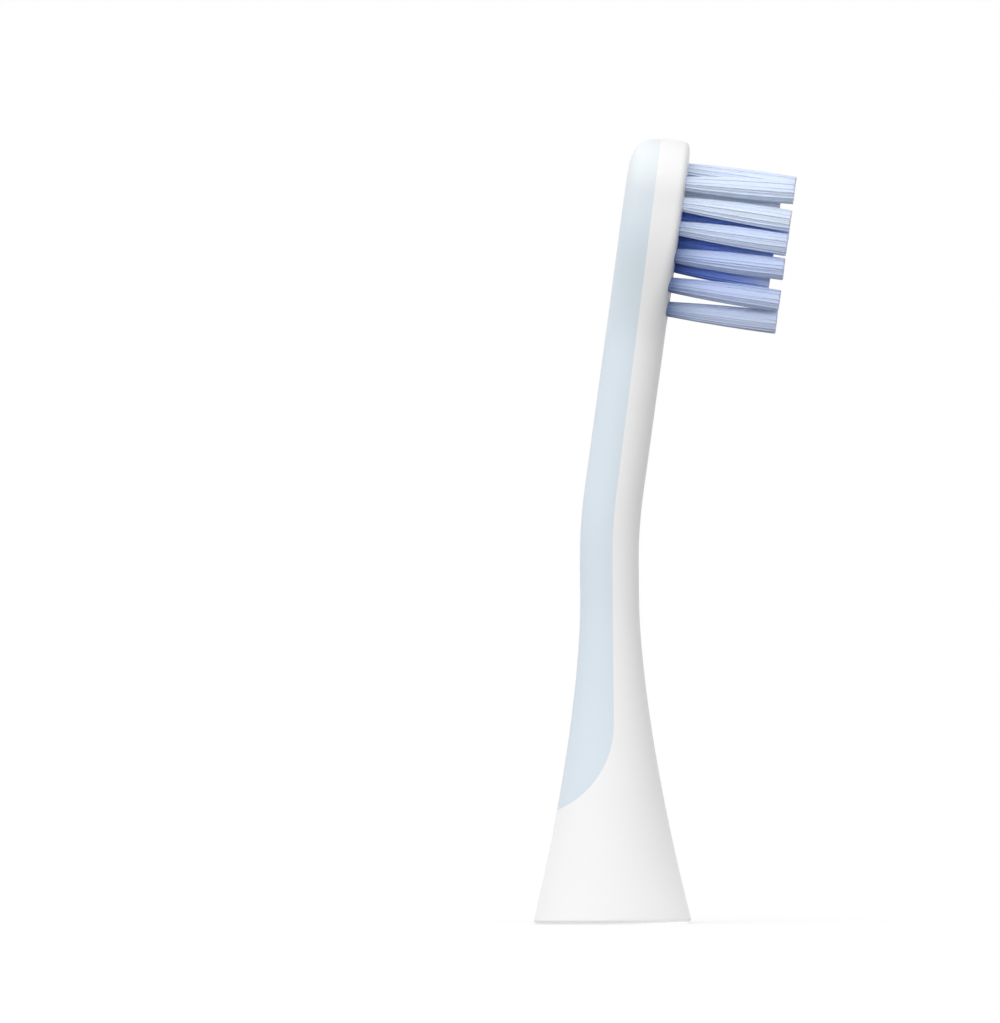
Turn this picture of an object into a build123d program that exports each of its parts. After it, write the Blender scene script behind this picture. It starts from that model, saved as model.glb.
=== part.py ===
from build123d import *
from math import cos, radians, sin, sqrt, tan
import os

# Electric toothbrush head. A flared hollow foot pushes onto the drive shaft of a handle, a slim neck
# bends forward above it, and a droplet-shaped head carries nylon tufts. A soft skin covers the back.
# Origin at the middle of the foot's rim, +Z up along the shaft, bristles towards +X.
# All lengths are in millimetres and all angles in degrees.

# Foot, neck and bend
foot_radius = 7.98
rim_fillet = 0.4
flare_height = 32.0  # where the foot has run out into the neck
flare_power = 1.58  # 1 would be a plain cone
neck_radius = 2.95
bend_height = 39.6  # corner of the two straight runs of the neck
bend_radius = 48.0
head_tilt = 8.3
head_reach = 39.27  # from the bend's corner to the top of the head

# Head
head_width = 10.8
head_thickness = 6.0
edge_band = 1.2  # rounded band between the tuft face and the widest line of the head
shoulder_top = 8.5  # below the top of the head, where it starts to narrow
shoulder_end = 21.5  # below the top of the head, where the neck is reached
round_fullness = 0.5523  # a quarter of a circle
back_fullness = 0.9
face_fullness = 1.0
stations = 45  # cross-sections along the spine, up to the round end of the head
overrun = 3  # more of them beyond it, so that the sides run straight into the round end

# Soft skin on the back
grip_thickness = 0.9
tongue_height = 20.0  # where the skin's edge leaves the middle line
tongue_radius = 9.3
tongue_sweep = 80.0
edge_offset = 0.3  # from the spine forward to the skin's edge, below the bend
edge_lean = 0.6  # how far the skin's edge leans back from the spine above the bend

# Hollow foot and the socket pressed into it
recess_depth = 5.5
rim_wall = 1.2
flange_radius = 4.6
flange_thickness = 1.2
barrel_radius = 2.6
barrel_length = 11.3
seat_clearance = 0.03
key_width = 1.0
key_height = 0.6
key_length = 4.3
bore_radius = 1.6
bore_length = 7.2
lead_in = 0.3
tip_radius = 1.4  # round side of the D above the bore
flat_offset = 1.0  # from the axis to the flat of the D
flat_length = 4.4

# Leaf spring that presses on the flat
spring_thickness = 0.2
spring_width = 1.6
spring_bow = 0.35
spring_clearance = 0.04

# Tufts, measured on the tuft face
hole_radius = 0.775
hole_depth = 2.8
tuft_fit = 0.01
fan_angle = 1.95  # how far the side of a tuft leans out
tuft_gap = 0.1  # between the tips of the two inner columns
tuft_belly = 0.12  # how far that side bulges at half its length
long_trim = 10.85
short_trim = 9.6
first_row = 2.72  # below the top of the head
edge_land = 0.92  # from a hole to the outline of the head

# Metal plates that hold the folded tufts
anchor_bite = 0.22  # how far a plate's ends reach into the wall of the hole
anchor_height = 1.2
anchor_thickness = 0.25
anchor_depth = 1.2

# Rows of tufts: pitches below the first row, columns, trim and lean towards the top of the head
tuft_rows = [
    (0.05, "inner", long_trim, -1.2),
    (0.62, "outer", long_trim, 3.0),
    (1.08, "inner", short_trim, -0.3),
    (1.50, "outer", long_trim, -1.0),
    (2.08, "inner", long_trim, -0.3),
    (2.52, "outer", long_trim, -0.6),
    (3.08, "inner", short_trim, -0.3),
    (3.66, "outer", long_trim, 0.8),
    (4.05, "inner", short_trim, -1.0),
    (4.88, "outer", long_trim, -0.8),
    (4.90, "middle", short_trim, -0.8),
    (5.90, "inner", long_trim, 0.5),
]

# Sizes that follow
across = Vector(0, 1, 0)
tilt = radians(head_tilt)
head_top = (head_reach * sin(tilt), bend_height + head_reach * cos(tilt))
recess_ceiling = recess_depth + flange_thickness
flat_base = recess_depth + bore_length
fan_slope = tan(radians(fan_angle))
tuft_pitch = 2 * (hole_radius + long_trim * fan_slope) + tuft_gap
anchor_width = 2 * (hole_radius + anchor_bite)

with BuildLine(Plane.XZ) as spine:
    FilletPolyline((0, 0), (0, bend_height), head_top, radius=bend_radius)
spine_wire = spine.wires()[0]
cap_station = spine_wire.length - head_width / 2
station_distances = [cap_station * count / stations for count in range(stations + 1)]
station_distances += [cap_station + head_width / 2 * count / overrun for count in range(1, overrun + 1)]


def station_plane(distance):
    """Plane square to the spine, this far along it, with local X on the bristle side."""
    point = spine_wire.position_at(distance, position_mode=PositionMode.LENGTH)
    heading = spine_wire.tangent_at(distance, position_mode=PositionMode.LENGTH)
    return Plane(origin=point, x_dir=across.cross(heading), z_dir=heading)


def blend(neck_value, head_value, distance):
    """Ease from the neck's value to the head's along the shoulders."""
    below_top = spine_wire.length - distance
    share = (shoulder_end - below_top) / (shoulder_end - shoulder_top)
    share = min(max(share, 0), 1)
    return neck_value + (head_value - neck_value) * share * share * (3 - 2 * share)


def flare(height):
    """Radius of the foot and neck at a height above the rim."""
    run_out = max(1 - height / flare_height, 0)
    return neck_radius + (foot_radius - neck_radius) * run_out**flare_power


def half_width(distance):
    """Half the width of the body, this far along the spine."""
    return blend(flare(distance), head_width / 2, distance)


def half_section(distance, inset, side):
    """One side of a cross-section: a back quarter and a front quarter that meet at the widest point."""
    depth = blend(flare(distance), head_thickness / 2, distance) - inset
    reach = side * (half_width(distance) - inset)
    widest = blend(0, head_thickness / 2 - edge_band, distance)
    back = blend(round_fullness, back_fullness, distance)
    front = blend(round_fullness, face_fullness, distance)
    Bezier(
        (-depth, 0),
        (-depth, back * reach),
        (widest - back * (widest + depth), reach),
        (widest, reach),
    )
    Bezier(
        (widest, reach),
        (widest + front * (depth - widest), reach),
        (depth, front * reach),
        (depth, 0),
    )


def body_form(inset):
    """Foot, neck and head as one skin, with a head end that is turned about the face's normal."""
    with BuildPart() as form:
        for distance in station_distances:
            with BuildSketch(station_plane(distance)):
                with BuildLine():
                    half_section(distance, inset, 1)
                    half_section(distance, inset, -1)
                make_face()
        loft()
        cap_plane = station_plane(cap_station)
        split(bisect_by=cap_plane, keep=Keep.BOTTOM)
        with BuildSketch(cap_plane):
            with BuildLine() as cap_outline:
                half_section(cap_station, inset, 1)
                Line(cap_outline.line @ 1, cap_outline.line @ 0)
            make_face()
        revolve(axis=Axis(cap_plane.origin, cap_plane.x_dir), revolution_arc=180)
    return form.part


# Whole outer form, with a rounded rim
skin = body_form(0)
with BuildPart() as outer:
    add(skin)
    fillet(outer.edges().group_by(Axis.Z)[0], rim_fillet)

# Room for the soft skin: all that lies behind the spine and above the tongue, outside the hard core
core = body_form(grip_thickness)
far = 2 * foot_radius
with BuildPart() as grip_room:
    with BuildSketch(Plane.XZ):
        with BuildLine():
            edge_tilt = radians(head_tilt - edge_lean)
            edge_run = head_reach + far
            over_top = (edge_offset + edge_run * sin(edge_tilt), bend_height + edge_run * cos(edge_tilt))
            edge_foot = (edge_offset, tongue_height)
            FilletPolyline(edge_foot, (edge_offset, bend_height), over_top, radius=bend_radius)
            tongue = JernArc(edge_foot, (0, -1), tongue_radius, -tongue_sweep)
            Polyline(over_top, (-far, over_top[1]), (-far, (tongue @ 1).Y), tongue @ 1)
        make_face()
    extrude(amount=far, both=True)
    add(core, mode=Mode.SUBTRACT)

with BuildPart() as back_grip:
    add(outer.part)
    add(grip_room.part, mode=Mode.INTERSECT)
back_grip.part.label = "back_grip"


def barrel(clearance):
    """The socket's barrel with its two keys or, with a clearance, the seat that it is pressed into."""
    with BuildPart() as form:
        with BuildSketch(Plane.XY.offset(recess_ceiling)):
            Circle(barrel_radius + clearance)
        extrude(amount=barrel_length + clearance)
        with BuildSketch(Plane.XY.offset(recess_ceiling)):
            Rectangle(key_width + 2 * clearance, 2 * (barrel_radius + key_height + clearance))
        extrude(amount=key_length + clearance)
    return form.part


# Hard insert with a round bore that ends in a D, and a pocket for the leaf behind the flat
plug = barrel(0)
with BuildPart() as shaft_socket:
    with BuildSketch(Plane.XY.offset(recess_depth)):
        Circle(flange_radius)
    extrude(amount=flange_thickness)
    add(plug)
    with BuildSketch(Plane.XY.offset(recess_depth)):
        Circle(bore_radius)
    extrude(amount=bore_length, mode=Mode.SUBTRACT)
    chamfer(shaft_socket.edges().group_by(Axis.Z)[0].sort_by(SortBy.RADIUS)[0], lead_in)
    with BuildSketch(Plane.XY.offset(flat_base)):
        Circle(tip_radius)
        split(bisect_by=Plane.YZ.offset(-flat_offset))
        with Locations((-flat_offset, 0)):
            Rectangle(
                spring_bow + spring_thickness,
                spring_width + 2 * spring_clearance,
                align=(Align.MAX, Align.CENTER),
            )
    extrude(amount=flat_length, mode=Mode.SUBTRACT)
shaft_socket.part.label = "shaft_socket"

# Bowed steel leaf, its ends against the pocket's back wall and its crest level with the flat
with BuildPart() as shaft_spring:
    leaf_back = -(flat_offset + spring_bow + spring_thickness)
    leaf_base = flat_base + spring_clearance
    leaf_top = flat_base + flat_length - spring_clearance
    with BuildSketch(Plane.XZ):
        with BuildLine():
            crest = (leaf_back + spring_bow, (leaf_base + leaf_top) / 2)
            back_arc = ThreePointArc((leaf_back, leaf_base), crest, (leaf_back, leaf_top))
            add(back_arc.moved(Location((spring_thickness, 0))))
            Line(back_arc @ 0, (leaf_back + spring_thickness, leaf_base))
            Line(back_arc @ 1, (leaf_back + spring_thickness, leaf_top))
        make_face()
    extrude(amount=spring_width / 2, both=True)
shaft_spring.part.label = "shaft_spring"


def outline_half_width(below_top):
    """Half the width of the head seen from the front: a round end, then the shoulders."""
    end_radius = head_width / 2
    if below_top < end_radius:
        return sqrt(end_radius**2 - (end_radius - below_top) ** 2)
    return half_width(spine_wire.length - below_top)


# Hole mouths on the tuft face: node name, plane and trim of each tuft
head_end = station_plane(spine_wire.length)
face = Plane(head_end.origin + head_end.x_dir * head_thickness / 2, across, head_end.x_dir)
tufts = []
for rank, (pitches, columns, trim, lean) in enumerate(tuft_rows, start=1):
    below_top = first_row + pitches * tuft_pitch
    if columns == "inner":
        spread = tuft_pitch / 2
    else:
        spread = outline_half_width(below_top) - edge_land - hole_radius
    places = {"middle": 0} if columns == "middle" else {"left": -spread, "right": spread}
    outward = face.z_dir * cos(radians(lean)) + face.y_dir * sin(radians(lean))
    for side, offset in places.items():
        mouth = Plane(face.from_local_coords((offset, -below_top, 0)), across, outward)
        tufts.append((f"tuft_{rank}_{side}", mouth, trim))
mouths = [mouth for name, mouth, trim in tufts]
seats = [mouth.offset(-anchor_depth) for mouth in mouths]


def anchor_plate(mode):
    """A plate that lies across a hole, with its upper edge at the local origin."""
    Box(
        anchor_width,
        anchor_thickness,
        anchor_height,
        align=(Align.CENTER, Align.CENTER, Align.MAX),
        mode=mode,
    )


# White moulded body
plug_seat = barrel(seat_clearance)
with BuildPart() as head_body:
    add(outer.part)
    add(grip_room.part, mode=Mode.SUBTRACT)
    with BuildSketch(Plane.XZ):
        with BuildLine():
            Polyline(
                (0, 0),
                (foot_radius - rim_wall, 0),
                (flare(recess_ceiling) - rim_wall, recess_ceiling),
                (0, recess_ceiling),
                close=True,
            )
        make_face()
    revolve(axis=Axis.Z, mode=Mode.SUBTRACT)
    add(plug_seat, mode=Mode.SUBTRACT)
    with Locations(mouths):
        Cylinder(hole_radius + tuft_fit, 2 * hole_depth, mode=Mode.SUBTRACT)
    with Locations(seats):
        anchor_plate(Mode.SUBTRACT)
head_body.part.label = "head_body"

# Plates that hold the tufts, driven across the holes
with BuildPart() as tuft_anchors:
    with Locations(seats):
        anchor_plate(Mode.ADD)
tuft_anchors.part.label = "tuft_anchors"

os.makedirs("parts", exist_ok=True)
for piece in (head_body, back_grip, shaft_socket, shaft_spring, tuft_anchors):
    export_step(piece.part, f"parts/{piece.part.label}.step")

# Tufts, straight in the hole and fanned out above it, folded round their plates
for name, mouth, trim in tufts:
    fan_radius = hole_radius + trim * fan_slope
    half_radius = (hole_radius + fan_radius) / 2 + tuft_belly
    with BuildPart() as tuft:
        with BuildSketch(Plane(mouth.origin, mouth.x_dir, -mouth.y_dir)):
            with BuildLine():
                ThreePointArc((hole_radius, 0), (half_radius, trim / 2), (fan_radius, trim))
                Polyline(
                    (fan_radius, trim),
                    (0, trim),
                    (0, -hole_depth),
                    (hole_radius, -hole_depth),
                    (hole_radius, 0),
                )
            make_face()
        revolve(axis=Axis(mouth.origin, mouth.z_dir))
        with Locations(mouth.offset(-anchor_depth)):
            anchor_plate(Mode.SUBTRACT)
    tuft.part.label = name
    export_step(tuft.part, f"parts/{name}.step")
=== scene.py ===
"""Dresses the solids of a push-on toothbrush head: finishes, bristles, floor, light and camera."""

import random
from math import atan, cos, pi, radians, sin, sqrt, tau

import bpy
from bpy.props import (
    FloatProperty,
    FloatVectorProperty,
    IntProperty,
    PointerProperty,
)
from mathutils import Matrix, Vector


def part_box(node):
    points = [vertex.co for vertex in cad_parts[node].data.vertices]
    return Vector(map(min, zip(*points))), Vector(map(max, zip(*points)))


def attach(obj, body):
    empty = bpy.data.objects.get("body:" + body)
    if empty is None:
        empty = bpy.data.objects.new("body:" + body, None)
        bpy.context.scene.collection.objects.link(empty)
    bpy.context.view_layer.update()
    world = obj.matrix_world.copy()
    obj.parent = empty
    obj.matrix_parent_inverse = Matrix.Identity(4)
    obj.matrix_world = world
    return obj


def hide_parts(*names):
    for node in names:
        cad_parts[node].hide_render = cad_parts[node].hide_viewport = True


bl_info = {
    "name": "Toothbrush Head",
    "version": (1, 0, 0),
    "blender": (4, 5, 0),
    "location": "View3D > Sidebar > Brush Head",
    "description": "Dresses the solids of a push-on toothbrush head and sets up its stage",
    "category": "Object",
}

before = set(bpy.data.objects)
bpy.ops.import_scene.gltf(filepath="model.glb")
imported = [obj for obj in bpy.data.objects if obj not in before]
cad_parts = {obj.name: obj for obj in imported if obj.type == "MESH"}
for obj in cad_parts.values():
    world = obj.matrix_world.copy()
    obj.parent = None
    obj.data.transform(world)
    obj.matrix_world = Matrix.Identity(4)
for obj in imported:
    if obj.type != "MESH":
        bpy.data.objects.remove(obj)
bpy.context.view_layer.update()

# Facts about the picture that the camera has to match, with the pixel of the middle of the foot's rim
PICTURE_WIDTH = 1000
PICTURE_HEIGHT = 1023
METRES_PER_PIXEL = 0.0001
FOOT_PIXEL = (612.5, 923.5)

# Nearest distance that the camera shows
CLIP_START = 0.01

WHITE = (1, 1, 1, 1)

# Middle of a pattern or a tone that goes from 0 to 1
MIDDLE = 0.5

# Sizes of the marks in the finishes, as lengths on the surface
PLASTIC_GRAIN = 0.00022
PLASTIC_MOTTLE = 0.009
SKIN_GRAIN = 0.00016
METAL_MARKS = 0.00008

# How much finer marks the patterns hold, and how the metal's marks are drawn out along Z
PLASTIC_DETAIL = 2.0
SKIN_DETAIL = 4.0
METAL_DETAIL = 3.0
METAL_STRETCH = (1, 1, 0.08)

# How clearly the marks show as relief, and how high they are
PLASTIC_RELIEF = 0.12
SKIN_RELIEF = 0.25
METAL_RELIEF = 0.3
GRAIN_HEIGHT = 0.00001
METAL_MARK_HEIGHT = 0.000004

# How far the marks make the colour darker and lighter
PLASTIC_TINT = 0.015
SKIN_TINT = 0.02
METAL_TINT = 0.1

# How much the marks change the roughness
PLASTIC_GRAIN_POLISH = 0.10
PLASTIC_MOTTLE_POLISH = 0.06
SKIN_POLISH = 0.14
METAL_POLISH = 0.2

# How strongly the plastics reflect
PLASTIC_SPECULAR = 0.35
SKIN_SPECULAR = 0.3
NYLON_SPECULAR = 0.3

# Roughness of the fittings inside the foot and the head
SOCKET_ROUGHNESS = 0.45
SPRING_ROUGHNESS = 0.3
PLATE_ROUGHNESS = 0.35

# Roughness of the filaments with the darkest tone, and how much more the lightest ones have
NYLON_ROUGHNESS = 0.42
NYLON_POLISH = 0.12

# What the colour of the filaments with the darkest tone, and of the rows in full painted shade, is
# multiplied by
DARK_TONE = (0.95, 0.96, 0.98, 1)
ROW_SHADE_TINT = (0.90, 0.90, 0.91, 1)

# How steeply the painted shade next to the hole falls off, and how late the deeper blue of painted shade
# fades towards the ends
ROOT_FALL = 6
PAINTED_SHADE_FALL = 3

# How strongly the tufts of some rows are made a deeper blue next to the hole, a painted shade, where 0 is
# the pale blue of the others, and the share of that painted shade that is gone at their ends
ROW_PAINTED_SHADE = {
    5: (0.88, 0.3),
    6: (0.09, 0),
    7: (0.88, 0.3),
    8: (0.25, 0.4),
    9: (0.85, 0.8),
    10: (0.25, 0.4),
    11: (0.15, 0),
    12: (0.13, 0.4),
}

# Rows from here to there go from the tufts at the top, with little painted shade, to those next to the
# neck, in full painted shade, and this is the share of painted shade that the top ones have as well
SHADE_ROWS_FROM = 4
SHADE_ROWS_TO = 8
LEAST_ROW_SHADE = 0.15

# Sides and cuts of the two bars that a tuft is made of, and the angles below which their faces look smooth
FILAMENT_SIDES = 6
FILAMENT_CUTS = 3
FILAMENT_SMOOTH = radians(65)
CORE_SIDES = 24
CORE_CUTS = 4
CORE_SMOOTH = radians(40)

# Width of the bevel at a filament's end, as a share of its radius
END_BEVEL = 0.6

# A face is an end of a bar where its normal goes this far along Z
END_FACING = 0.9

# Turn from one filament to the next that fills a round hole evenly
GOLDEN_ANGLE = pi * (3 - sqrt(5))

# Depth of the slice of a tuft's solid that is taken for its end
END_SLICE = 0.0002

# Tufts whose trim agrees to so many decimals are copies of one pattern
TRIM_DECIMALS = 4

# Start of the random draws
SEED = 7

SELECT_MODES = {"vertices": "VERT", "edges": "EDGE", "polygons": "FACE"}

# The floor's own white, how bright it looks away from the object, and its number of corners
FLOOR_WHITE = 0.9
OPEN_WHITE = 1.01
FLOOR_CORNERS = 64

# How far the floor lies below the rim
FLOOR_GAP = 0.00002

# Reach of the full light that the floor sends up into the hollow foot, as a share of the foot's radius
FOOT_INSIDE = 1.005

# Shares of the slant from above and of the losses overhead and at the sides that a level floor gets
LEVEL_SLANT = 2 / 3
LEVEL_OVERHEAD = 1 / 2
LEVEL_SIDES = 1 / 4

# Middle and reach of the lighter patch of floor beside the foot
CARD_MIDDLE = (0.018, -0.006, 0)
CARD_REACH = 0.018

# Width and depth of the painted shadow, a narrow shade where the foot stands on the floor
CONTACT_WIDTH = 0.0015
CONTACT_DEPTH = 0.22


class BodySettings(bpy.types.PropertyGroup):
    """The white moulded body and the soft skin on its back."""

    white: FloatVectorProperty(
        name="Body white",
        description="Colour of the hard plastic",
        subtype="COLOR",
        size=3,
        min=0,
        max=1,
        default=(0.885, 0.885, 0.885),
    )
    white_roughness: FloatProperty(
        name="Body roughness",
        description="How far the plastic's polish scatters a reflection",
        subtype="FACTOR",
        min=0,
        max=1,
        default=0.34,
    )
    grip: FloatVectorProperty(
        name="Grip blue",
        description="Colour of the soft skin",
        subtype="COLOR",
        size=3,
        min=0,
        max=1,
        default=(0.685, 0.763, 0.827),
    )
    # Painted highlight: the paler blue of the soft skin at the top of the head
    grip_highlight: FloatVectorProperty(
        name="Thin grip blue",
        description="Colour of the soft skin at the top of the head, where the white shows through it",
        subtype="COLOR",
        size=3,
        min=0,
        max=1,
        default=(0.795, 0.84, 0.86),
    )
    # Painted highlight: how far down from the top of the head it reaches
    highlight_reach: FloatProperty(
        name="Thin reach",
        description="How far down from the top of the head the soft skin gets thicker",
        unit="LENGTH",
        precision=5,
        min=0.001,
        max=0.05,
        default=0.0095,
    )
    grip_roughness: FloatProperty(
        name="Grip roughness",
        description="How far the soft skin scatters a reflection",
        subtype="FACTOR",
        min=0,
        max=1,
        default=0.5,
    )


class TuftSettings(bpy.types.PropertyGroup):
    """The nylon filaments of the tufts."""

    filaments: IntProperty(
        name="Filaments",
        description="Filament ends in each tuft",
        min=12,
        max=120,
        default=80,
    )
    diameter: FloatProperty(
        name="Filament diameter",
        description="Thickness of one filament",
        unit="LENGTH",
        precision=5,
        min=0.00005,
        max=0.0005,
        default=0.000155,
    )
    bow: FloatProperty(
        name="Bow",
        description="How far the middle of a filament stands off its straight line",
        unit="LENGTH",
        precision=5,
        min=0,
        max=0.0005,
        default=0.00004,
    )
    belly: FloatProperty(
        name="Belly",
        description="How far the side of a tuft bulges at half its length",
        unit="LENGTH",
        precision=5,
        min=0,
        max=0.0005,
        default=0.00012,
    )
    core: FloatProperty(
        name="Core",
        description="Reach of a tuft's plain inside, as a share of the ring of its outermost filaments",
        subtype="FACTOR",
        min=0.5,
        max=1,
        default=0.95,
    )
    stub: FloatProperty(
        name="Stub",
        description="How far the filaments over the plain inside stand out of it",
        unit="LENGTH",
        precision=5,
        min=0.0001,
        max=0.002,
        default=0.00015,
    )
    unevenness: FloatProperty(
        name="Unevenness",
        description="How far the filament ends differ in height",
        unit="LENGTH",
        precision=5,
        min=0,
        max=0.0005,
        default=0.00007,
    )
    root_depth: FloatProperty(
        name="Root depth",
        description="How far the filaments reach into the hole, down to the metal plate",
        unit="LENGTH",
        precision=5,
        min=0.0002,
        max=0.003,
        default=0.00115,
    )
    hole_depth: FloatProperty(
        name="Hole depth",
        description="Depth of a tuft's hole in the solids",
        unit="LENGTH",
        precision=5,
        min=0.001,
        max=0.006,
        default=0.0028,
    )
    head_tilt: FloatProperty(
        name="Head tilt",
        description="How far the tufts point below the horizontal",
        subtype="ANGLE",
        default=radians(8.3),
    )
    lean: FloatProperty(
        name="Lean",
        description="Largest angle by which a tuft leaves its own axis",
        subtype="ANGLE",
        default=radians(0.5),
    )
    # The nylon's own colour, before any painted shade
    shade: FloatVectorProperty(
        name="Filament blue",
        description="Colour of the nylon in the tufts that are dyed least",
        subtype="COLOR",
        size=3,
        min=0,
        max=1,
        default=(0.745, 0.83, 0.98),
    )
    # Painted shade: the deeper blue of the tufts in some rows
    painted_shade_blue: FloatVectorProperty(
        name="Deep blue",
        description="Colour of the nylon in the most strongly dyed tufts",
        subtype="COLOR",
        size=3,
        min=0,
        max=1,
        default=(0.13, 0.30, 1.0),
    )
    # Painted shade: the darkening next to the hole, strongest in the rows next to the neck
    root_shade: FloatVectorProperty(
        name="Root tint",
        description="What the colour of the dim tufts is multiplied by next to the hole",
        subtype="COLOR",
        size=3,
        min=0,
        max=1,
        default=(0.30, 0.36, 0.48),
    )


class FittingSettings(bpy.types.PropertyGroup):
    """The socket in the foot, its leaf spring and the plates that hold the tufts."""

    socket: FloatVectorProperty(
        name="Socket grey",
        description="Colour of the hard insert in the foot",
        subtype="COLOR",
        size=3,
        min=0,
        max=1,
        default=(0.62, 0.64, 0.66),
    )
    steel: FloatVectorProperty(
        name="Spring steel",
        description="Colour of the leaf spring",
        subtype="COLOR",
        size=3,
        min=0,
        max=1,
        default=(0.60, 0.61, 0.62),
    )
    brass: FloatVectorProperty(
        name="Plate brass",
        description="Colour of the plates that hold the tufts",
        subtype="COLOR",
        size=3,
        min=0,
        max=1,
        default=(0.72, 0.56, 0.28),
    )


class StageSettings(bpy.types.PropertyGroup):
    """Floor, light and camera."""

    camera_distance: FloatProperty(
        name="Camera distance",
        description="From the camera to the axis of the foot",
        unit="LENGTH",
        min=0.2,
        max=6,
        default=3.0,
    )
    roll: FloatProperty(
        name="Roll",
        description="How far the camera is turned about its line of sight",
        subtype="ANGLE",
        default=radians(0.5),
    )
    fill: FloatProperty(
        name="Fill",
        description="Strength of the light from all around",
        min=0,
        max=3,
        default=2.02,
    )
    slant: FloatVectorProperty(
        name="Slant",
        description="How much stronger that light is from the right, from behind and from above",
        subtype="XYZ",
        size=3,
        default=(-0.5, -0.41, -0.57),
    )
    overhead: FloatProperty(
        name="Overhead",
        description="How much weaker that light is from straight above than from low down",
        min=-2,
        max=2,
        default=0.9,
    )
    sides: FloatProperty(
        name="Sides",
        description="How much weaker that light is from the left and from the right than from the front",
        min=-2,
        max=2,
        default=0.8,
    )
    bounce: FloatProperty(
        name="Bounce",
        description="Strength of the light that comes up from the floor",
        subtype="FACTOR",
        min=0,
        max=1,
        default=0.2,
    )
    card: FloatProperty(
        name="Card",
        description="How much stronger that light is beside the foot, on the side of the bristles",
        min=0,
        max=3,
        default=1.0,
    )
    shadow: FloatProperty(
        name="Shadow",
        description="How much of its shade the white floor shows",
        subtype="FACTOR",
        min=0,
        max=1,
        default=0.55,
    )
    floor_radius: FloatProperty(
        name="Floor radius",
        description="Reach of the floor round the foot",
        unit="LENGTH",
        min=0.5,
        max=20,
        default=4.0,
    )


class Value:
    """A socket in a node tree. Arithmetic on it adds Math nodes."""

    def __init__(self, tree, socket=None):
        self.tree = tree
        self.socket = socket

    def node(self, kind, settings=None, inputs=None, output=0):
        """Adds any other node: its settings first, then its sockets' values or links."""
        made = self.tree.nodes.new(kind)
        for name, value in (settings or {}).items():
            setattr(made, name, value)
        for name, value in (inputs or {}).items():
            if isinstance(value, Value):
                self.tree.links.new(value.socket, made.inputs[name])
            else:
                made.inputs[name].default_value = value
        return Value(self.tree, made.outputs[output])

    def math(self, operation, first, second):
        """Adds one Math node."""
        return self.node("ShaderNodeMath", {"operation": operation}, {0: first, 1: second})

    def mix(self, colour, other):
        """From one colour to another as this value goes from 0 to 1."""
        return self.node("ShaderNodeMix", {"data_type": "RGBA"}, {0: self, 6: colour, 7: other}, 2)

    def multiplied(self, colour, other):
        """One colour times another."""
        settings = {"data_type": "RGBA", "blend_type": "MULTIPLY"}
        return self.node("ShaderNodeMix", settings, {0: 1.0, 6: colour, 7: other}, 2)

    def __add__(self, other):
        return self.math("ADD", self, other)

    def __radd__(self, other):
        return self.math("ADD", other, self)

    def __sub__(self, other):
        return self.math("SUBTRACT", self, other)

    def __rsub__(self, other):
        return self.math("SUBTRACT", other, self)

    def __mul__(self, other):
        return self.math("MULTIPLY", self, other)

    def __rmul__(self, other):
        return self.math("MULTIPLY", other, self)

    def __pow__(self, other):
        return self.math("POWER", self, other)


def new_material(name, surface, *details):
    """A material whose surface comes from one of the finishes below."""
    material = bpy.data.materials.new(name)
    material.use_nodes = True
    tree = material.node_tree
    tree.nodes.clear()
    output = tree.nodes.new("ShaderNodeOutputMaterial")
    shader = surface(Value(tree), *details)
    tree.links.new(shader.socket, output.inputs["Surface"])
    return material


def tinted(colour, factor=1):
    """A colour as a socket takes it, made darker or lighter by a factor."""
    return (*(min(part * factor, 1) for part in colour), 1)


def varied(mask, colour, amount):
    """A colour that goes from darker to lighter by this amount as a mask goes from 0 to 1."""
    return mask.mix(tinted(colour, 1 - amount), tinted(colour, 1 + amount))


def grain(graph, size, detail, stretch=(1, 1, 1)):
    """Noise on the piece's own coordinates, with marks of this size."""
    place = graph.node("ShaderNodeTexCoord", output="Object")
    place = graph.node("ShaderNodeMapping", {}, {"Vector": place, "Scale": stretch})
    return graph.node("ShaderNodeTexNoise", {}, {"Vector": place, "Scale": 1 / size, "Detail": detail})


def relief(graph, marks, strength, height):
    """Marks that stand out of the surface."""
    return graph.node("ShaderNodeBump", {}, {"Strength": strength, "Distance": height, "Height": marks})


def moulded_plastic(graph, colour, roughness):
    """Hard polished plastic with a faint flow mottle and the mould's fine texture."""
    mottle = grain(graph, PLASTIC_MOTTLE, PLASTIC_DETAIL)
    fine = grain(graph, PLASTIC_GRAIN, PLASTIC_DETAIL)
    polish = PLASTIC_GRAIN_POLISH * (fine - MIDDLE) + PLASTIC_MOTTLE_POLISH * (mottle - MIDDLE)
    return graph.node(
        "ShaderNodeBsdfPrincipled",
        {},
        {
            "Base Color": varied(mottle, colour, PLASTIC_TINT),
            "Roughness": roughness + polish,
            "Specular IOR Level": PLASTIC_SPECULAR,
            "Normal": relief(graph, fine, PLASTIC_RELIEF, GRAIN_HEIGHT),
        },
    )


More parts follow.
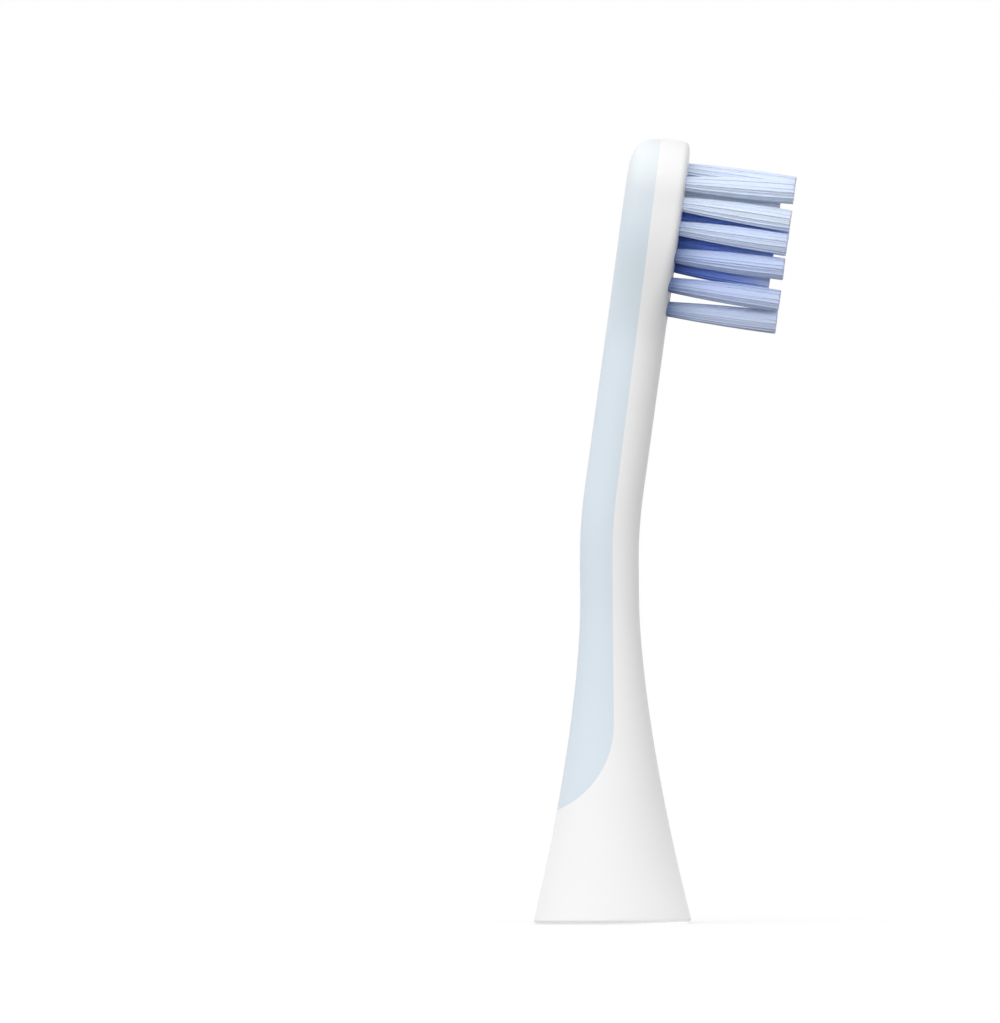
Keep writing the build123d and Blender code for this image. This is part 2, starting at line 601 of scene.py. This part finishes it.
def soft_skin(graph, colour, highlight_colour, highlight_from, top, roughness):
    """Soft moulded skin with a satin spark texture, paler towards its top: a painted highlight."""
    place = graph.node("ShaderNodeTexCoord", output="Object")
    height = graph.node("ShaderNodeSeparateXYZ", {}, {0: place}, "Z")
    heights = {"Value": height, "From Min": highlight_from, "From Max": top}
    # Painted highlight: paler towards the top of the head
    painted_highlight = graph.node("ShaderNodeMapRange", {"interpolation_type": "SMOOTHSTEP"}, heights)
    mottle = grain(graph, PLASTIC_MOTTLE, PLASTIC_DETAIL)
    fine = grain(graph, SKIN_GRAIN, SKIN_DETAIL)
    return graph.node(
        "ShaderNodeBsdfPrincipled",
        {},
        {
            "Base Color": painted_highlight.mix(varied(mottle, colour, SKIN_TINT), tinted(highlight_colour)),
            "Roughness": roughness + SKIN_POLISH * (fine - MIDDLE),
            "Specular IOR Level": SKIN_SPECULAR,
            "Normal": relief(graph, fine, SKIN_RELIEF, GRAIN_HEIGHT),
        },
    )


def nylon(graph, shade, painted_shade_blue, root_shade):
    """Nylon filaments, each its own tone, with painted shade: deeper blue in some rows, darker low rows and
    roots.
    """
    place = graph.node("ShaderNodeUVMap", {"uv_map": "filament"})
    tone = graph.node("ShaderNodeSeparateXYZ", {}, {0: place}, "X")
    along = graph.node("ShaderNodeSeparateXYZ", {}, {0: place}, "Y")
    row = graph.node("ShaderNodeUVMap", {"uv_map": "row"})
    painted_shade = graph.node("ShaderNodeSeparateXYZ", {}, {0: row}, "X")
    row_shade = graph.node("ShaderNodeSeparateXYZ", {}, {0: row}, "Y")
    # Painted shade: a deeper blue in some rows, and the lower rows darker, most of all next to the hole
    near_root = row_shade * (1 - along) ** ROOT_FALL
    colour = painted_shade.mix(tinted(shade), tinted(painted_shade_blue))
    colour = graph.multiplied(colour, near_root.mix(WHITE, tinted(root_shade)))
    colour = graph.multiplied(colour, row_shade.mix(WHITE, ROW_SHADE_TINT))
    colour = graph.multiplied(colour, tone.mix(DARK_TONE, WHITE))
    return graph.node(
        "ShaderNodeBsdfPrincipled",
        {},
        {
            "Base Color": colour,
            "Roughness": NYLON_ROUGHNESS + NYLON_POLISH * tone,
            "Specular IOR Level": NYLON_SPECULAR,
        },
    )


def rolled_metal(graph, colour, roughness):
    """Metal with fine rolling marks along its length."""
    marks = grain(graph, METAL_MARKS, METAL_DETAIL, METAL_STRETCH)
    return graph.node(
        "ShaderNodeBsdfPrincipled",
        {},
        {
            "Base Color": varied(marks, colour, METAL_TINT),
            "Metallic": 1.0,
            "Roughness": roughness + METAL_POLISH * (marks - MIDDLE),
            "Normal": relief(graph, marks, METAL_RELIEF, METAL_MARK_HEIGHT),
        },
    )


def direct_ray(graph):
    """1 for a ray that shows the surroundings themselves: straight, mirrored or through glass."""
    paths = [
        graph.node("ShaderNodeLightPath", output=name)
        for name in ("Is Camera Ray", "Is Glossy Ray", "Is Transmission Ray")
    ]
    return graph.math("MAXIMUM", graph.math("MAXIMUM", paths[0], paths[1]), paths[2])


def fading(graph, distance, start, end):
    """1 up to a start and 0 from an end on, with an even fall between them."""
    span = {"Value": distance, "From Min": start, "From Max": end, "To Min": 1, "To Max": 0}
    return graph.node("ShaderNodeMapRange", {}, span)


def white_floor(graph, settings, glow, foot):
    """Floor that is white apart from a share of its own shade, sends up soft light and is clear from below.

    The soft light is full under the hollow foot and a little stronger on a patch beside it.
    """
    place = graph.node("ShaderNodeTexCoord", output="Object")
    reach = graph.node("ShaderNodeVectorMath", {"operation": "LENGTH"}, {0: place}, "Value")
    # Painted shadow: the floor's white is darker in a narrow ring round the foot
    painted_contact_shadow = fading(graph, reach, foot, foot + CONTACT_WIDTH)
    white = graph.node("ShaderNodeEmission", {}, {"Color": glow - glow * CONTACT_DEPTH * painted_contact_shadow ** 2})
    matt = graph.node("ShaderNodeBsdfDiffuse", {}, {"Color": tinted(WHITE[:3], FLOOR_WHITE)})
    shown = graph.node("ShaderNodeMixShader", {}, {0: settings.shadow, 1: white, 2: matt})
    ends = {0: place, 1: CARD_MIDDLE}
    apart = graph.node("ShaderNodeVectorMath", {"operation": "DISTANCE"}, ends, "Value")
    beside = settings.card * fading(graph, apart, 0, CARD_REACH)
    inside = (1 - settings.bounce) * graph.math("LESS_THAN", reach, FOOT_INSIDE * foot)
    upward = graph.node("ShaderNodeEmission", {}, {"Color": settings.bounce + inside + beside})
    top = graph.node("ShaderNodeMixShader", {}, {0: direct_ray(graph), 1: upward, 2: shown})
    clear = graph.node("ShaderNodeBsdfTransparent")
    underside = graph.node("ShaderNodeNewGeometry", output="Backfacing")
    return graph.node("ShaderNodeMixShader", {}, {0: underside, 1: top, 2: clear})


def dress(node_name, material):
    """Gives a node of the frame its material."""
    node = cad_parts[node_name]
    node.data.materials.clear()
    node.data.materials.append(material)


def start_piece():
    """Nothing selected, so that an operator acts on the new piece alone."""
    bpy.ops.object.select_all(action="DESELECT")


def edit_selection(mesh_part, test):
    """In edit mode, selects the vertices, edges or faces that pass a test."""
    bpy.ops.mesh.select_mode(type=SELECT_MODES[mesh_part])
    bpy.ops.mesh.select_all(action="DESELECT")
    bpy.ops.object.mode_set(mode="OBJECT")
    mesh = bpy.context.object.data
    for element in getattr(mesh, mesh_part):
        element.select = test(mesh, element)
    bpy.ops.object.mode_set(mode="EDIT")


def is_lengthwise(mesh, edge):
    """Whether an edge runs along a bar more than across it."""
    first, second = (mesh.vertices[index].co for index in edge.vertices)
    return abs(first.z - second.z) > (first.xy - second.xy).length


def lengthwise_piece(sides, radius, top, bottom, cuts):
    """A closed round bar along Z, in edit mode, cut into equal lengths."""
    start_piece()
    middle = (0, 0, (top + bottom) / 2)
    bpy.ops.mesh.primitive_cylinder_add(
        vertices=sides, radius=radius, depth=top - bottom, location=middle
    )
    bpy.ops.object.transform_apply(location=True, rotation=False, scale=False)
    bpy.ops.object.mode_set(mode="EDIT")
    if cuts:
        edit_selection("edges", is_lengthwise)
        bpy.ops.mesh.subdivide(number_cuts=cuts)
    return bpy.context.object


def mark_lengths(mesh, trim):
    """UV maps for the nylon: one for the tone and the share of the length, one for what its row gets."""
    while mesh.uv_layers:
        mesh.uv_layers.remove(mesh.uv_layers[0])
    layer = mesh.uv_layers.new(name="filament")
    mesh.uv_layers.new(name="row")
    for loop, spot in zip(mesh.loops, layer.data):
        spot.uv = (MIDDLE, max(mesh.vertices[loop.vertex_index].co.z, 0) / trim)


def paint_row_shade(mesh, row):
    """Writes a tuft row's painted shade, its deeper blue and its darkening, into its UV map."""
    row_shade = min(max((row - SHADE_ROWS_FROM) / (SHADE_ROWS_TO - SHADE_ROWS_FROM), LEAST_ROW_SHADE), 1)
    painted_shade, fade = ROW_PAINTED_SHADE.get(row, (0, 0))
    for along, spot in zip(mesh.uv_layers["filament"].data, mesh.uv_layers["row"].data):
        spot.uv = (painted_shade * (1 - fade * along.uv.y ** PAINTED_SHADE_FALL), row_shade)


def model_filament(trim, bottom, cuts, settings):
    """One filament along Z with a bow and a bevelled end, from its bottom, which may be in the hole, up."""
    radius = settings.diameter / 2
    filament = lengthwise_piece(FILAMENT_SIDES, radius, trim, max(bottom, 0), cuts)
    step = trim / (cuts + 1)
    for count in range(1, cuts + 1):
        height = step * count
        bow = settings.bow * sin(pi * count / (cuts + 1))
        edit_selection("vertices", lambda mesh, vertex: abs(vertex.co.z - height) < step / 4)
        bpy.ops.transform.translate(value=(bow, 0, 0))
    edit_selection("polygons", lambda mesh, face: face.normal.z > END_FACING)
    bpy.ops.mesh.bevel(offset=END_BEVEL * radius, segments=1, affect="EDGES")
    if bottom < 0:
        edit_selection("polygons", lambda mesh, face: face.normal.z < -END_FACING)
        bpy.ops.mesh.extrude_region_move(TRANSFORM_OT_translate={"value": (0, 0, bottom)})
    bpy.ops.object.mode_set(mode="OBJECT")
    bpy.ops.object.shade_smooth_by_angle(angle=FILAMENT_SMOOTH)
    mark_lengths(filament.data, trim)
    return filament


def model_core(trim, radius, settings):
    """The plain inside of a tuft, from inside the hole to just below the filaments' ends."""
    core = lengthwise_piece(CORE_SIDES, radius, trim - settings.stub, 0, CORE_CUTS)
    edit_selection("polygons", lambda mesh, face: face.normal.z < -END_FACING)
    bpy.ops.mesh.extrude_region_move(TRANSFORM_OT_translate={"value": (0, 0, -settings.root_depth)})
    bpy.ops.object.mode_set(mode="OBJECT")
    bpy.ops.object.shade_smooth_by_angle(angle=CORE_SMOOTH)
    mark_lengths(core.data, trim)
    return core


def model_tuft(name, trim, mouth_radius, tip_radius, settings, draw):
    """Filaments packed in the hole and fanned out above it, as one mesh about the tuft's own axis."""
    packed = mouth_radius - settings.diameter / 2
    spread = tip_radius - settings.diameter / 2
    whole = model_filament(trim, -settings.root_depth, FILAMENT_CUTS, settings)
    # A stub is as long inside the core as out of it
    stub = model_filament(trim, trim - 2 * settings.stub, 0, settings)

    def fan(height):
        """How far the outermost filaments are from the axis at a height above the mouth."""
        rise = max(height, 0) / trim
        # The last term is the belly, which is full at half the trim
        return packed + (spread - packed) * rise + 4 * settings.belly * rise * (1 - rise)

    tuft = model_core(trim, settings.core * packed, settings)
    tuft.name = name
    for vertex in tuft.data.vertices:
        vertex.co.xy *= fan(vertex.co.z) / packed
    start_piece()
    for count in range(settings.filaments):
        # Each filament stands in the middle of its own share of the round area
        share = sqrt((count + 0.5) / settings.filaments)
        turn = count * GOLDEN_ANGLE
        outward = Vector((cos(turn), sin(turn), 0)) * share
        shows = share * packed > settings.core * packed - settings.diameter / 2
        pattern = whole if shows else stub
        strand = pattern.copy()
        strand.data = pattern.data.copy()
        strand.data.transform(Matrix.Rotation(draw.uniform(0, tau), 4, "Z"))
        for vertex in strand.data.vertices:
            vertex.co += outward * fan(vertex.co.z)
        strand.data.transform(Matrix.Translation((0, 0, -draw.uniform(0, settings.unevenness))))
        tone = draw.random()
        for spot in strand.data.uv_layers["filament"].data:
            spot.uv.x = tone
        bpy.context.scene.collection.objects.link(strand)
        strand.select_set(True)
    tuft.select_set(True)
    bpy.context.view_layer.objects.active = tuft
    bpy.ops.object.join()
    for pattern in (whole, stub):
        bpy.data.objects.remove(pattern)
    return tuft


def middle_of(points):
    """Middle of a ring of points, and half its width across the brush head."""
    corners = [(min(values), max(values)) for values in zip(*points)]
    return Vector(((low + high) / 2 for low, high in corners)), (corners[1][1] - corners[1][0]) / 2


def tuft_place(node_name, settings):
    """Where a tuft of the frame stands: its mouth and axis, trim, mouth radius and tip radius."""
    outward = Vector((cos(settings.head_tilt), 0, -sin(settings.head_tilt)))
    points = [vertex.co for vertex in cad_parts[node_name].data.vertices]
    heights = [point.dot(outward) for point in points]
    low, high = min(heights) + END_SLICE, max(heights) - END_SLICE
    root_points = [point for point, height in zip(points, heights) if height < low]
    tip_points = [point for point, height in zip(points, heights) if height > high]
    root, mouth_radius = middle_of(root_points)
    tip, tip_radius = middle_of(tip_points)
    axis = (tip - root).normalized()
    across = Vector((0, 1, 0))
    axes = Matrix((across, axis.cross(across), axis)).transposed().to_4x4()
    place = Matrix.Translation(root + axis * settings.hole_depth) @ axes
    return place, (tip - root).length - settings.hole_depth, mouth_radius, tip_radius


class BRUSHHEAD_OT_body(bpy.types.Operator):
    """Dress the moulded body from the foot's rim to the top of the head"""

    bl_idname = "brush_head.body"
    bl_label = "Moulded body"

    def execute(self, context):
        settings = context.scene.brush_body
        material = new_material("body_white", moulded_plastic, settings.white, settings.white_roughness)
        dress("head_body", material)
        return {"FINISHED"}


class BRUSHHEAD_OT_grip(bpy.types.Operator):
    """Dress the soft skin on the back"""

    bl_idname = "brush_head.grip"
    bl_label = "Back grip"

    def execute(self, context):
        settings = context.scene.brush_body
        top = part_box("back_grip")[1][2]
        shades = (settings.grip, settings.grip_highlight, top - settings.highlight_reach, top)
        material = new_material("grip_blue", soft_skin, *shades, settings.grip_roughness)
        dress("back_grip", material)
        return {"FINISHED"}


class BRUSHHEAD_OT_fittings(bpy.types.Operator):
    """Dress the shaft socket, its leaf spring and the plates that hold the tufts"""

    bl_idname = "brush_head.fittings"
    bl_label = "Socket, spring and plates"

    def execute(self, context):
        settings = context.scene.brush_fittings
        socket = new_material("socket_plastic", moulded_plastic, settings.socket, SOCKET_ROUGHNESS)
        steel = new_material("spring_steel", rolled_metal, settings.steel, SPRING_ROUGHNESS)
        brass = new_material("anchor_brass", rolled_metal, settings.brass, PLATE_ROUGHNESS)
        dress("shaft_socket", socket)
        dress("shaft_spring", steel)
        dress("tuft_anchors", brass)
        return {"FINISHED"}


class BRUSHHEAD_OT_tufts(bpy.types.Operator):
    """Plant a bundle of nylon filaments in each hole of the head"""

    bl_idname = "brush_head.tufts"
    bl_label = "Bristle tufts"

    def execute(self, context):
        settings = context.scene.brush_tufts
        draw = random.Random(SEED)
        shades = (settings.shade, settings.painted_shade_blue, settings.root_shade)
        material = new_material("bristle_blue", nylon, *shades)
        masters = {}
        for node_name in sorted(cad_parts):
            if not node_name.startswith("tuft_") or node_name == "tuft_anchors":
                continue
            place, trim, mouth_radius, tip_radius = tuft_place(node_name, settings)
            kind = round(trim, TRIM_DECIMALS)
            if kind not in masters:
                masters[kind] = model_tuft("pattern", trim, mouth_radius, tip_radius, settings, draw)
            tuft = masters[kind].copy()
            tuft.data = masters[kind].data.copy()
            tuft.name = node_name.replace("tuft", "filaments")
            tilt_way = draw.uniform(0, tau)
            tilt_axis = Vector((cos(tilt_way), sin(tilt_way), 0))
            lean = Matrix.Rotation(draw.uniform(0, settings.lean), 4, tilt_axis)
            tuft.data.transform(place @ lean @ Matrix.Rotation(draw.uniform(0, tau), 4, "Z"))
            paint_row_shade(tuft.data, int(node_name.split("_")[1]))
            tuft.data.materials.clear()
            tuft.data.materials.append(material)
            context.scene.collection.objects.link(tuft)
            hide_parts(node_name)
            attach(tuft, "root")
        for master in masters.values():
            bpy.data.objects.remove(master)
        return {"FINISHED"}


class BRUSHHEAD_OT_stage(bpy.types.Operator):
    """Set up the white floor, the soft light and the camera"""

    bl_idname = "brush_head.stage"
    bl_label = "Stage"

    def execute(self, context):
        settings = context.scene.brush_stage
        self.make_floor(settings)
        self.make_light(context.scene, settings)
        self.make_camera(context.scene, settings)
        context.scene.view_settings.view_transform = "Standard"
        return {"FINISHED"}

    def make_floor(self, settings):
        start_piece()
        bpy.ops.mesh.primitive_circle_add(
            vertices=FLOOR_CORNERS,
            radius=settings.floor_radius,
            fill_type="NGON",
            location=(0, 0, -FLOOR_GAP),
        )
        floor = bpy.context.object
        floor.name = "floor"
        loss = LEVEL_OVERHEAD * settings.overhead + LEVEL_SIDES * settings.sides
        lit = FLOOR_WHITE * (settings.fill + LEVEL_SLANT * settings.slant[2] - loss)
        glow = (OPEN_WHITE - settings.shadow * lit) / (1 - settings.shadow)
        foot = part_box("head_body")[1][1]
        material = new_material("floor_white", white_floor, settings, glow, foot)
        floor.data.materials.append(material)

    def make_light(self, scene, settings):
        world = bpy.data.worlds.new("studio")
        scene.world = world
        world.use_nodes = True
        tree = world.node_tree
        tree.nodes.clear()
        graph = Value(tree)
        heading = graph.node("ShaderNodeTexCoord", output="Generated")
        slopes = {0: heading, 1: settings.slant}
        lift = graph.node("ShaderNodeVectorMath", {"operation": "DOT_PRODUCT"}, slopes, "Value")
        height = graph.node("ShaderNodeSeparateXYZ", {}, {0: heading}, "Z")
        aside = graph.node("ShaderNodeSeparateXYZ", {}, {0: heading}, "X")
        loss = settings.overhead * height ** 2 + settings.sides * aside ** 2
        dome = graph.math("MAXIMUM", settings.fill + lift - loss, 0)
        direct = direct_ray(graph)
        strength = dome * (1 - direct) + direct
        background = graph.node("ShaderNodeBackground", {}, {"Color": WHITE, "Strength": strength})
        output = tree.nodes.new("ShaderNodeOutputWorld")
        tree.links.new(background.socket, output.inputs["Surface"])

    def make_camera(self, scene, settings):
        right = (FOOT_PIXEL[0] - PICTURE_WIDTH / 2) * METRES_PER_PIXEL
        down = (FOOT_PIXEL[1] - PICTURE_HEIGHT / 2) * METRES_PER_PIXEL
        aside = right * cos(settings.roll) - down * sin(settings.roll)
        aim_z = right * sin(settings.roll) + down * cos(settings.roll)
        start_piece()
        bpy.ops.object.camera_add(location=(0, -settings.camera_distance, aim_z))
        camera = bpy.context.object
        camera.name = "camera"
        camera.rotation_euler = (pi / 2, settings.roll, atan(aside / settings.camera_distance))
        # The picture is taller than it is wide, so its height fills the sensor
        picture_height = PICTURE_HEIGHT * METRES_PER_PIXEL
        camera.data.lens = camera.data.sensor_width * settings.camera_distance / picture_height
        camera.data.clip_start = CLIP_START
        scene.camera = camera


class BRUSHHEAD_PT_panel(bpy.types.Panel):
    """Steps that dress the brush head"""

    bl_idname = "BRUSHHEAD_PT_panel"
    bl_label = "Brush Head"
    bl_space_type = "VIEW_3D"
    bl_region_type = "UI"
    bl_category = "Brush Head"

    def draw(self, context):
        for operator in OPERATORS:
            self.layout.operator(operator.bl_idname)


OPERATORS = (
    BRUSHHEAD_OT_body,
    BRUSHHEAD_OT_grip,
    BRUSHHEAD_OT_fittings,
    BRUSHHEAD_OT_tufts,
    BRUSHHEAD_OT_stage,
)
SETTINGS = {
    "brush_body": BodySettings,
    "brush_tufts": TuftSettings,
    "brush_fittings": FittingSettings,
    "brush_stage": StageSettings,
}


def register():
    for name, group in SETTINGS.items():
        bpy.utils.register_class(group)
        setattr(bpy.types.Scene, name, PointerProperty(type=group))
    for operator in OPERATORS:
        bpy.utils.register_class(operator)
    bpy.utils.register_class(BRUSHHEAD_PT_panel)


def unregister():
    bpy.utils.unregister_class(BRUSHHEAD_PT_panel)
    for operator in reversed(OPERATORS):
        bpy.utils.unregister_class(operator)
    for name, group in SETTINGS.items():
        delattr(bpy.types.Scene, name)
        bpy.utils.unregister_class(group)


def main():
    register()
    bpy.ops.brush_head.body()
    bpy.ops.brush_head.grip()
    bpy.ops.brush_head.fittings()
    bpy.ops.brush_head.tufts()
    bpy.ops.brush_head.stage()


if __name__ == "__main__":
    main()
